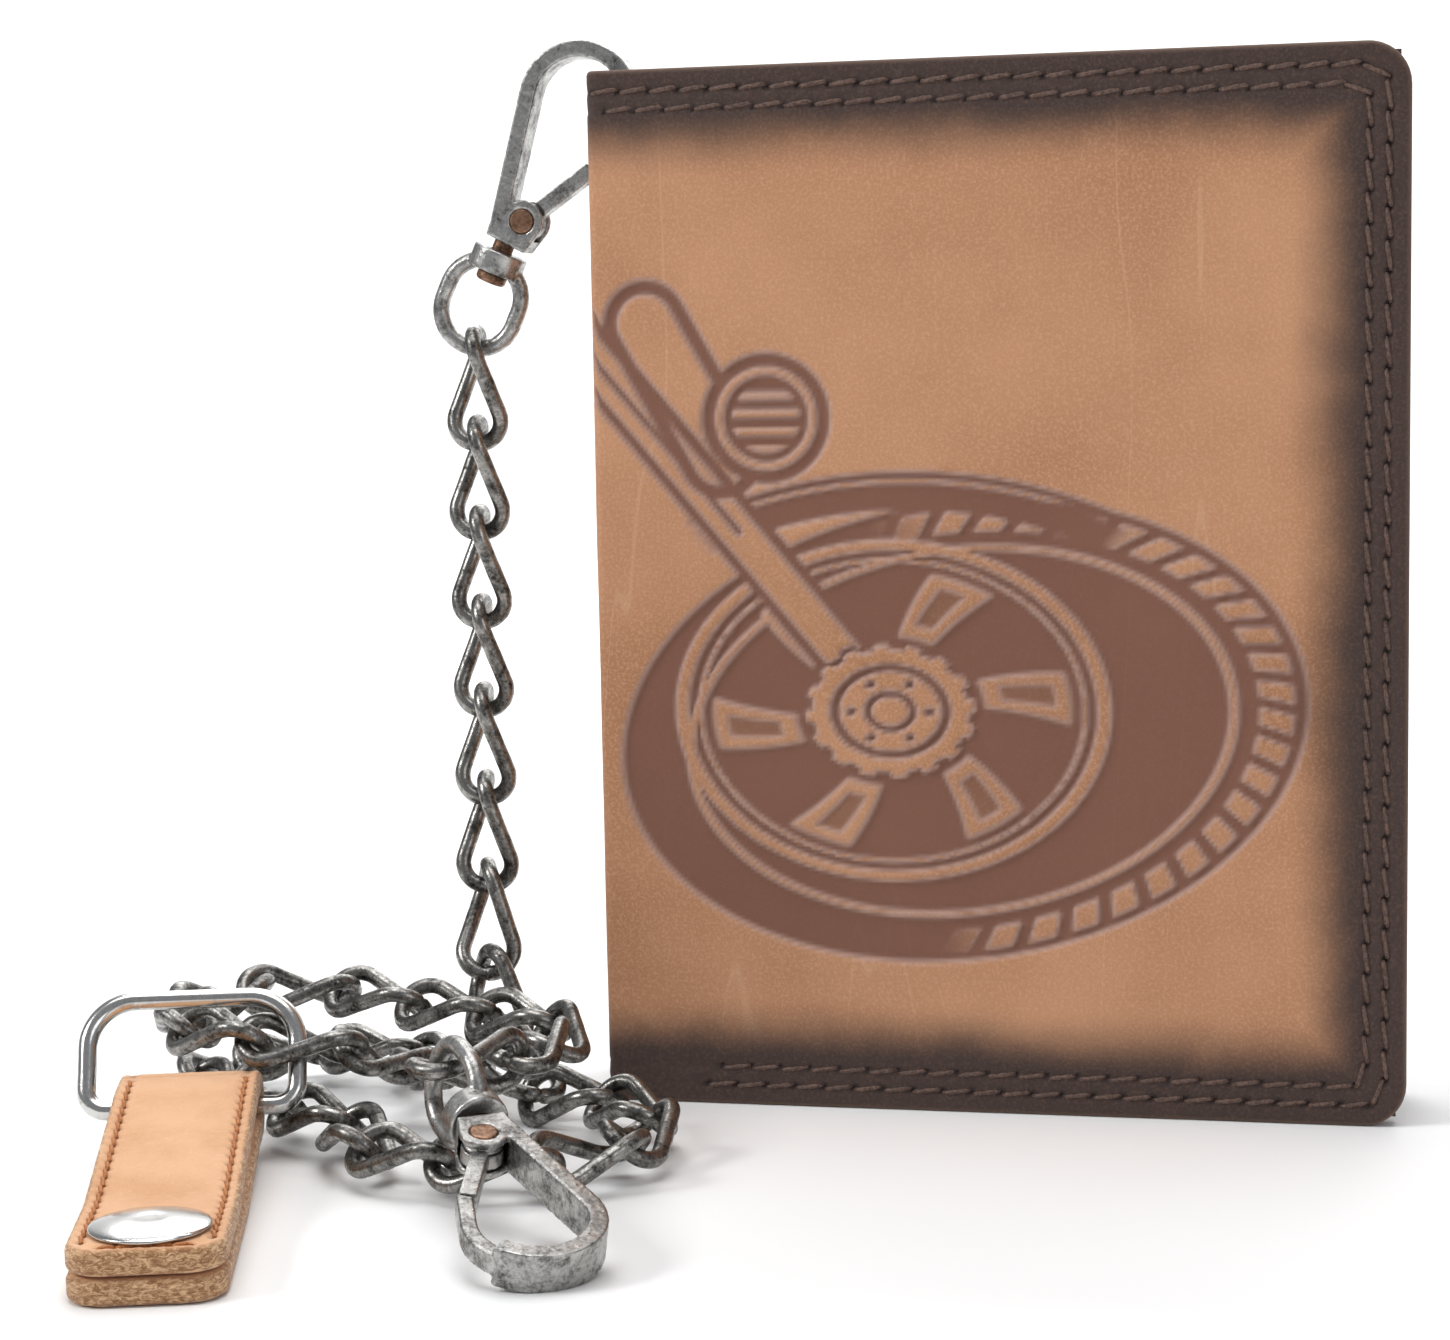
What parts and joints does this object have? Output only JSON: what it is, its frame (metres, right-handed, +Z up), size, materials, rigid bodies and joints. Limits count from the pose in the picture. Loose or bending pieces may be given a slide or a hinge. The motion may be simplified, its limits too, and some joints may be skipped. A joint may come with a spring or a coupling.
{
  "type": "chain wallet",
  "caption": "Upright leather bifold wallet with a spine eyelet, a swivel snap hook, a twisted link chain, a second hook and a leather snap tab.",
  "frame": {"origin": "foot of the spine, at the middle of the wallet's thickness, on the standing edge", "axes": "+Z up along the spine, +X from the spine to the fore edge, front cover facing -Y"},
  "size_m": [0.1499, 0.1026, 0.1295],
  "materials": {
    "cover_leather": "nubuck, burnished dark edges",
    "lining_leather": "smooth dark lining",
    "inner_leather": "smooth satin",
    "tape_cloth": "woven tape",
    "clear_window": "clear film",
    "tab_leather": "natural undyed, raw edges",
    "chain_nickel": "antique nickel",
    "hook_nickel": "cast antique nickel",
    "rivet_brass": "dull copper brown",
    "fitting_nickel": "polished nickel"
  },
  "bodies": {
    "front_half": {"front_cover": "cover_leather", "front_lining": "lining_leather", "front_bill_panel": "inner_leather", "front_card_leaf_1": "inner_leather", "front_card_leaf_2": "inner_leather", "front_card_leaf_3": "inner_leather", "front_card_leaf_4": "inner_leather", "eyelet_barrel": "fitting_nickel", "eyelet_washer": "fitting_nickel", "id_leaf_tape": "tape_cloth"},
    "back_half": {"back_cover": "cover_leather", "back_lining": "lining_leather", "back_bill_panel": "inner_leather", "coin_pouch": "inner_leather", "coin_flap": "inner_leather", "stud_cap": "fitting_nickel", "stud_socket": "fitting_nickel", "stud_post": "fitting_nickel"},
    "id_leaf": {"id_leaf_panel": "inner_leather", "id_window": "clear_window", "id_slip_pocket": "inner_leather"},
    "hook_1": {"hook_1_body": "hook_nickel", "hook_1_rivet": "rivet_brass", "hook_1_gate_spring": "hook_nickel", "hook_1_swivel_post": "hook_nickel"},
    "hook_1_latch": {"hook_1_gate": "hook_nickel"},
    "hook_1_swivel": {"hook_1_swivel_eye": "hook_nickel"},
    "link_1": {"chain_link_01": "chain_nickel"},
    "link_2": {"chain_link_02": "chain_nickel"},
    "link_3": {"chain_link_03": "chain_nickel"},
    "link_4": {"chain_link_04": "chain_nickel"},
    "link_5": {"chain_link_05": "chain_nickel"},
    "link_6": {"chain_link_06": "chain_nickel"},
    "link_7": {"chain_link_07": "chain_nickel"},
    "link_8": {"chain_link_08": "chain_nickel"},
    "heap": {"chain_links_09_to_12": "chain_nickel", "chain_links_13_to_16": "chain_nickel", "chain_links_17_to_20": "chain_nickel", "chain_links_21_to_24": "chain_nickel", "chain_links_25_to_28": "chain_nickel", "chain_links_29_to_32": "chain_nickel", "chain_links_33_to_36": "chain_nickel", "tab_ring": "fitting_nickel"},
    "hook_2_swivel": {"hook_2_swivel_eye": "hook_nickel"},
    "hook_2": {"hook_2_body": "hook_nickel", "hook_2_rivet": "rivet_brass", "hook_2_gate_spring": "hook_nickel", "hook_2_swivel_post": "hook_nickel"},
    "hook_2_latch": {"hook_2_gate": "hook_nickel"},
    "tab": {"tab_lower_flap": "tab_leather", "tab_snap_stud": "fitting_nickel", "tab_snap_base": "fitting_nickel"},
    "tab_flap": {"tab_upper_flap": "tab_leather", "tab_snap_cap": "fitting_nickel", "tab_snap_socket": "fitting_nickel"}
  },
  "joints": [
    {"name": "wallet_open", "type": "hinge", "parent": "front_half", "child": "back_half", "pos_m": [0, 0.0085, 0], "axis": [0, 0, 1], "range_deg": [0, 170]},
    {"name": "id_leaf_turn", "type": "hinge", "parent": "front_half", "child": "id_leaf", "pos_m": [0.011, -0.0012, 0], "axis": [0, 0, 1], "range_deg": [0, 85]},
    {"name": "hook_1_lift", "type": "hinge", "parent": "front_half", "child": "hook_1", "pos_m": [0, 0, 0.116], "axis": [0, 1, 0], "range_deg": [0, 6]},
    {"name": "hook_1_gate_turn", "type": "hinge", "parent": "hook_1", "child": "hook_1_latch", "pos_m": [-0.01075, 0, 0.10778], "axis": [0, -1, 0], "range_deg": [0, 25], "stiffness_Nm_per_rad": 0.002},
    {"name": "hook_1_swivel_turn", "type": "hinge", "parent": "hook_1", "child": "hook_1_swivel", "pos_m": [-0.01347, 0, 0.10543], "axis": [-0.4067, 0, -0.9135], "range_deg": [0, 15]},
    {"name": "link_1_swing", "type": "hinge", "parent": "hook_1_swivel", "child": "link_1", "pos_m": [-0.0176, -0.00002, 0.09346], "axis": [0, 1, 0], "range_deg": [0, 8]},
    {"name": "link_2_swing", "type": "hinge", "parent": "link_1", "child": "link_2", "pos_m": [-0.0176, -0.00022, 0.08204], "axis": [-1, 0, 0], "range_deg": [0, 8]},
    {"name": "link_3_swing", "type": "hinge", "parent": "link_2", "child": "link_3", "pos_m": [-0.0176, -0.00041, 0.07094], "axis": [0, 1, 0], "range_deg": [0, 8]},
    {"name": "link_4_swing", "type": "hinge", "parent": "link_3", "child": "link_4", "pos_m": [-0.0176, -0.0006, 0.05984], "axis": [-1, 0, 0], "range_deg": [0, 8]},
    {"name": "link_5_swing", "type": "hinge", "parent": "link_4", "child": "link_5", "pos_m": [-0.0176, -0.0008, 0.04874], "axis": [0, 1, 0], "range_deg": [0, 8]},
    {"name": "link_6_swing", "type": "hinge", "parent": "link_5", "child": "link_6", "pos_m": [-0.0176, -0.00095, 0.03764], "axis": [-1, 0, 0], "range_deg": [0, 8]},
    {"name": "link_7_swing", "type": "hinge", "parent": "link_6", "child": "link_7", "pos_m": [-0.01764, -0.00115, 0.02648], "axis": [0, 1, 0], "range_deg": [0, 8]},
    {"name": "link_8_swing", "type": "hinge", "parent": "link_7", "child": "link_8", "pos_m": [-0.01705, -0.00445, 0.01575], "axis": [-1, 0, 0], "range_deg": [0, 8]},
    {"name": "heap_lift", "type": "hinge", "parent": "link_8", "child": "heap", "pos_m": [-0.01385, -0.01116, 0.00724], "axis": [0, 1, 0], "range_deg": [0, 6]},
    {"name": "hook_2_lift", "type": "hinge", "parent": "heap", "child": "hook_2_swivel", "pos_m": [-0.00978, -0.05149, 0.01423], "axis": [-0.8131, -0.5821, 0], "range_deg": [0, 20]},
    {"name": "hook_2_swivel_turn", "type": "hinge", "parent": "hook_2_swivel", "child": "hook_2", "pos_m": [-0.00071, -0.06062, 0.00999], "axis": [-0.6102, 0.7325, 0.3016], "continuous": true},
    {"name": "hook_2_gate_turn", "type": "hinge", "parent": "hook_2", "child": "hook_2_latch", "pos_m": [0.00009, -0.06397, 0.00898], "axis": [0.176, -0.2459, 0.9532], "range_deg": [0, 25], "stiffness_Nm_per_rad": 0.002},
    {"name": "tab_lift", "type": "hinge", "parent": "heap", "child": "tab", "pos_m": [-0.041, -0.043, 0.0065], "axis": [-0.9563, -0.2924, 0], "range_deg": [0, 13]},
    {"name": "tab_open", "type": "hinge", "parent": "tab", "child": "tab_flap", "pos_m": [-0.04074, -0.04386, 0.0106], "axis": [-0.9563, -0.2924, 0], "range_deg": [0, 35]}
  ],
  "couplings": [
    {"joint": "id_leaf_turn", "follows": "wallet_open", "ratio": 0.5}
  ]
}
